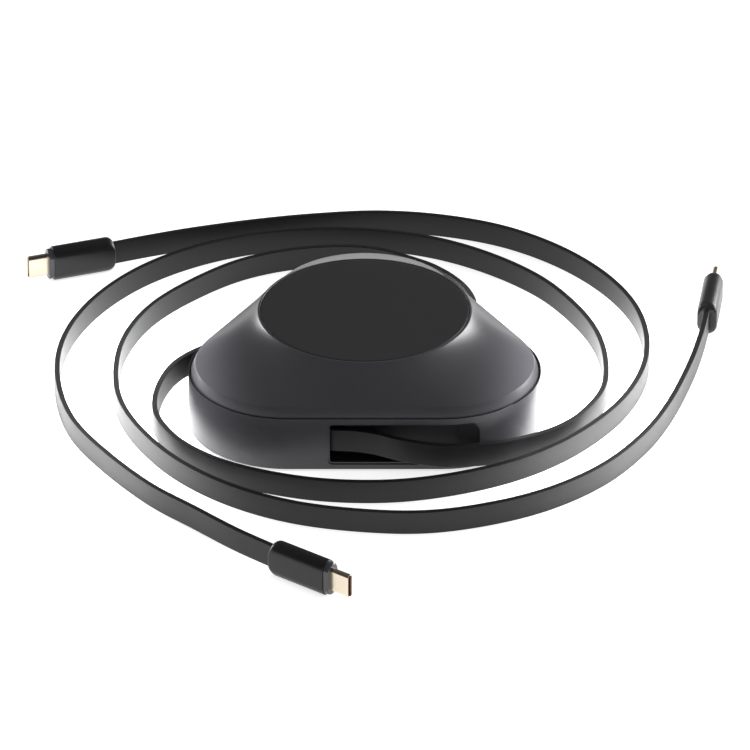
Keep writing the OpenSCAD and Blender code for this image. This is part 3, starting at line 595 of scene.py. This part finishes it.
def eased_copy(name, node):
    """A copy of a CAD node's mesh, with its flat faces merged and its sharp edges eased."""
    piece = bpy.data.objects.new(name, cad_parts[node].data.copy())
    scene.collection.objects.link(piece)
    faces = bmesh.new()
    faces.from_mesh(piece.data)
    bmesh.ops.remove_doubles(faces, verts=faces.verts, dist=2e-6)
    bmesh.ops.dissolve_limit(faces, angle_limit=math.radians(0.5), verts=faces.verts, edges=faces.edges)
    faces.to_mesh(piece.data)
    faces.free()
    crease(piece, sharp_from)
    ease = piece.modifiers.new("eased_edges", "BEVEL")
    ease.width = wall_ease
    ease.segments = wall_ease_steps
    ease.limit_method = "ANGLE"
    ease.angle_limit = math.radians(sharp_from)
    ease.harden_normals = True
    ease.use_clamp_overlap = True
    return piece


def depth_in_wall(point):
    """How far a point lies inside the outline of the wall, seen from above."""
    corners = [side_turn(side) @ Vector((0, corner_dist, 0)) for side in sides]
    flat = Vector((point.x, point.y, 0))
    reaches = []
    outside = False
    for a, b in zip(corners, corners[1:] + corners[:1]):
        share = min(max(intersect_point_line(flat, a, b)[1], 0), 1)
        reaches.append((flat - a.lerp(b, share)).length)
        outside = outside or (a + b).dot(flat - a) > 0
    return corner_r - (min(reaches) if outside else 0)


wall = eased_copy("lower_shell", "lower_housing")
wall.data.materials.clear()
wall.data.materials.append(graphite)
wall.data.materials.append(graphite_painted_shade)
# Faces deep inside the wall's outline, in the slots, take the painted shade
for face in wall.data.polygons:
    face.material_index = 1 if depth_in_wall(face.center) > painted_shade_depth else 0
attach(wall, "housing")
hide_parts("lower_housing")


# The charging pad: a polycarbonate disc with a soft, matt coating. It lies on the
# ledge of the upper housing, flush with the rim, and its face is bare.

# Even, matt charcoal that takes a broad, dim reflection and no sharp highlight
pad_coat = moulded("soft_touch_coat", "#29292b", 0.46, grain_mm=0.2, grain_depth_mm=0.002, uneven=0.03)
pad_edge = 0.00035
pad_edge_steps = 5
pad_sides = 192
# Plain rings on the side and the face keep the shading flat up to the round edge
side_ring_depth = 0.0008
face_ring_inset = 0.0012
middle_ring_r = 0.02


def as_piece(name, faces, material):
    """Points a closed skin's faces outwards and makes it a piece of one material."""
    bmesh.ops.recalc_face_normals(faces, faces=faces.faces)
    mesh = bpy.data.meshes.new(name)
    faces.to_mesh(mesh)
    faces.free()
    mesh.materials.append(material)
    piece = bpy.data.objects.new(name, mesh)
    scene.collection.objects.link(piece)
    return piece


pad_outline = [(0, z_rim - ledge_depth), (pad_r, z_rim - ledge_depth), (pad_r, z_rim - side_ring_depth)]
for k in range(pad_edge_steps + 1):
    angle = math.pi / 2 * k / pad_edge_steps
    pad_outline.append((pad_r - pad_edge + pad_edge * math.cos(angle),
                        z_rim - pad_edge + pad_edge * math.sin(angle)))
pad_outline += [(pad_r - face_ring_inset, z_rim), (middle_ring_r, z_rim), (0, z_rim)]
pad_skin = bmesh.new()
join_rings(pad_skin, [ring_at(pad_skin, Vector(), radius, height, pad_sides)
                      for radius, height in pad_outline])
pad = as_piece("charging_pad_disc", pad_skin, pad_coat)
crease(pad, 50)
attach(pad, "housing")
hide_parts("charging_pad")


# The plugs: a thermoplastic grip moulded over the end of the cord, a glossy
# collar, a drawn metal mouth and a moulded insulator inside it. Each plug lies on
# the table on its narrow side.
grip_length = 0.022
grip_height = 0.0124
grip_thick = 0.0067
rear_round = 0.0026
collar_length = 0.0018
mouth_length = 0.0069
mouth_height = 0.00825
mouth_thick = 0.0024
mouth_wall = 0.0003
grip_edge = 0.0005
grip_front_edge = 0.00035
collar_drop = 0.0006
collar_inset = 0.0005
collar_edge = 0.0005
core_gap = 0.00003
core_setback = 0.0004
core_wall = 0.0004
core_floor = 0.0008
oval_steps = 20
edge_steps = 6
rear_steps = 10

# Black, slightly softer than the cord: a clear sheen along the upper edge
grip_skin = moulded("grip_tpe", "#1c1c1e", 0.36, ior=1.45, grain_mm=0.3, grain_depth_mm=0.006)
# Polished dark grey, a thin band that mirrors the table between the grip and the mouth
collar_gloss = moulded("collar_glossy_pc", "#3a3c42", 0.12, ior=1.58, grain_depth_mm=0.0005, uneven=0.02)
# Dull red-brown, seen only as a dark filling in the mouth
insulator = moulded("lcp_insulator", "#5a3526", 0.42, grain_mm=0.2)


def plated(name, colour, roughness):
    """A bright metal whose gloss is a little uneven, as drawn and plated parts are."""
    gloss_range = 0.05
    material = bpy.data.materials.new(name)
    material.use_nodes = True
    tree = material.node_tree
    tree.nodes.clear()
    place = add(tree, "ShaderNodeTexCoord")
    marks = add(tree, "ShaderNodeTexNoise", {"Vector": place.outputs["Object"], "Scale": 2500.0,
                                             "Detail": 2.0})
    gloss = add(tree, "ShaderNodeMapRange",
                {"Value": marks.outputs["Fac"], "To Min": roughness - gloss_range,
                 "To Max": roughness + gloss_range})
    surface = add(tree, "ShaderNodeBsdfPrincipled",
                  {"Base Color": linear(colour), "Metallic": 1.0, "Roughness": gloss.outputs[0]})
    add(tree, "ShaderNodeOutputMaterial", {"Surface": surface.outputs[0]})
    return material


# Pale, warm metal with soft reflections, the one light accent on the cords
champagne = plated("champagne_gold_plate", "#d8cbb8", 0.30)


def oval(x, half_height, half_thick):
    """An upright oval section at x: half-round top and bottom, flat sides."""
    straight = half_height - half_thick
    points = []
    for end in (1, -1):
        for k in range(oval_steps + 1):
            angle = math.pi * k / oval_steps
            y = end * half_thick * math.cos(angle)
            z = end * (straight + half_thick * math.sin(angle))
            points.append((x, y, grip_height / 2 + z))
    return points


def barrel(name, side, stations, material, closed=True):
    """A piece of a plug through oval sections (x, half height, half thickness), set at its cord's end."""
    faces = bmesh.new()
    rings = [[faces.verts.new(p) for p in oval(*station)] for station in stations]
    join_rings(faces, rings)
    if closed:
        faces.faces.new(rings[0])
        faces.faces.new(rings[-1])
    end = runs[side][-1]
    bmesh.ops.remove_doubles(faces, verts=faces.verts, dist=1e-8)
    bmesh.ops.transform(faces, verts=faces.verts, matrix=Matrix.Translation((end[0], end[1], 0))
                        @ Matrix.Rotation(math.radians(plug_heading[side]), 4, "Z"))
    return as_piece(name, faces, material)


def front_edge(x, half_height, half_thick, size):
    """Sections that round the front end of a piece over, from its full section to its end face at x."""
    found = []
    for k in range(edge_steps, -1, -1):
        angle = math.pi / 2 * k / edge_steps
        inset = size * (1 - math.sin(angle))
        along = size * (1 - math.cos(angle))
        found.append((x - along, half_height - inset, half_thick - inset))
    return found


# The grip's rear corners are rounded in side view, and all its end edges are eased
grip_sections = []
for k in range(rear_steps + 1):
    angle = math.pi / 2 * k / rear_steps
    x = rear_round * (1 - math.cos(angle))
    drop = rear_round * (1 - math.sin(angle))
    thin = grip_edge - math.sqrt(max(grip_edge ** 2 - (grip_edge - min(x, grip_edge)) ** 2, 0))
    grip_sections.append((x, grip_height / 2 - drop, grip_thick / 2 - thin))
grip_sections += front_edge(grip_length, grip_height / 2, grip_thick / 2, grip_front_edge)

collar_half = (grip_height / 2 - collar_drop, grip_thick / 2 - collar_inset)
collar_to = grip_length + collar_length
collar_sections = [(grip_length, *collar_half)] + front_edge(collar_to, *collar_half, collar_edge)

# The mouth is a tube, so its sections go out along the outside and back inside
mouth_to = collar_to + mouth_length
outer = (mouth_height / 2, mouth_thick / 2)
inner = (outer[0] - mouth_wall, outer[1] - mouth_wall)
lip = mouth_wall / 2
mouth_sections = [(collar_to, *outer)] + front_edge(mouth_to, *outer, lip)
mouth_sections += [(mouth_to - lip * 0.6, inner[0] + lip * 0.2, inner[1] + lip * 0.2),
                   (mouth_to - lip * 1.6, *inner), (collar_to, *inner), (collar_to, *outer)]

# The insulator lines the mouth and is open to the front
core_out = (inner[0] - core_gap, inner[1] - core_gap)
core_in = (inner[0] - core_wall, inner[1] - core_wall)
core_sections = [(collar_to, *core_out), (mouth_to - core_setback, *core_out),
                 (mouth_to - core_setback, *core_in), (collar_to + core_floor, *core_in)]

for side in sides:
    grip = barrel("plug_grip_skin_" + side, side, grip_sections, grip_skin)
    collar = barrel("plug_collar_ring_" + side, side, collar_sections, collar_gloss)
    mouth = barrel("plug_mouth_" + side, side, mouth_sections, champagne, closed=False)
    face_out(mouth)
    core = barrel("plug_core_" + side, side, core_sections, insulator)
    for piece, stands_for, slot in (
            (grip, "plug_grip_", "grip_black"), (collar, "plug_collar_", "collar_grey"),
            (mouth, "plug_shell_", "champagne_metal"), (core, "plug_insert_", "insert_brown")):
        crease(piece, 30)
        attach(piece, "housing")
        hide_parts(stands_for + side)
    cord, centres = cords[side]


# The base pad: a sheet of rubber, cut to the outline of the station a little inside
# its wall and glued under the floor, so that the station doesn't slide.
def dress(nodes, material):
    """Puts CAD nodes in a material. Their meshes stay as they are."""
    for name in nodes:
        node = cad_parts[name]
        node.data.materials.clear()
        node.data.materials.append(material)


# Dull, near-black rubber with a coarse grain
dress(["base_pad"], moulded("nitrile_rubber", "#1d1d1e", 0.62, grain_mm=0.8, grain_depth_mm=0.03))


# The reels: a moulded spool with its cover turns on a post, held by a screw. A
# spring strip winds it back, and a pawl with a leaf spring stops it. Four tracks
# on top and a block of brushes under the board carry the power of its cord.

# Ivory plastic with a waxy sheen
acetal = moulded("pom_acetal", "#dcdad4", 0.34, grain_mm=0.6)
dress([part + side for part in ("spool_", "spring_cover_") for side in sides], acetal)
# Blue-grey spring steel with a soft shine
spring_strip = plated("hardened_steel_strip", "#8e949b", 0.3)
dress([part + side for part in ("mainspring_", "pawl_", "pawl_spring_") for side in sides], spring_strip)
# Warm yellow metal, the brightest finish inside
gold_flash = plated("gold_flash", "#d8b36e", 0.26)
dress(["slip_ring_" + side for side in sides], gold_flash)
# Black, even and half matt, as blocks and packages are
epoxy = moulded("epoxy_moulding", "#1b1b1d", 0.44, grain_mm=0.2)
dress(["brush_block_" + side for side in sides], epoxy)
# The jacket of the cords again, for the turns left on the drums
wound_jacket = moulded("cord_tpe_wound", "#161617", 0.42, ior=1.42, grain_mm=0.5, grain_depth_mm=0.004)
dress(["cord_turns_" + side for side in sides], wound_jacket)


# The charging coil: a flat winding of enamelled wire on a ferrite disc, in a moulded
# carrier that is screwed up under the ledge of the pad.

# Orange-brown wire, glossy under its enamel
dress(["charging_coil"], plated("enamelled_copper", "#c97f4e", 0.32))
# Brown-grey and dull, like fired clay
ferrite = moulded("sintered_ferrite", "#3d3a37", 0.55, grain_mm=0.15, grain_depth_mm=0.01)
dress(["ferrite_disc"], ferrite)
dress(["coil_carrier"], acetal)


# The main board: a round glass and epoxy board that hangs from the carrier, with
# its chips, inductors and capacitors soldered on top.

# Dark green lacquer, smooth and glossy
dress(["main_board"], moulded("solder_mask", "#17492f", 0.24, grain_mm=1.2))
dress(["controller_chips"], epoxy)
dress(["power_inductors"], ferrite)
# Light, clean aluminium
dress(["capacitors"], plated("drawn_aluminium", "#c4c6c9", 0.28))


# The screws: zinc-plated steel with cross recesses. They hold the case together,
# the carrier to the shell, the board to the carrier and the spools on their posts.

# Cool, pale metal with a soft shine
zinc_plate = plated("zinc_plated_steel", "#c6c9cc", 0.3)
dress(["case_screws", "carrier_screws", "board_screws", "spool_screws"], zinc_plate)
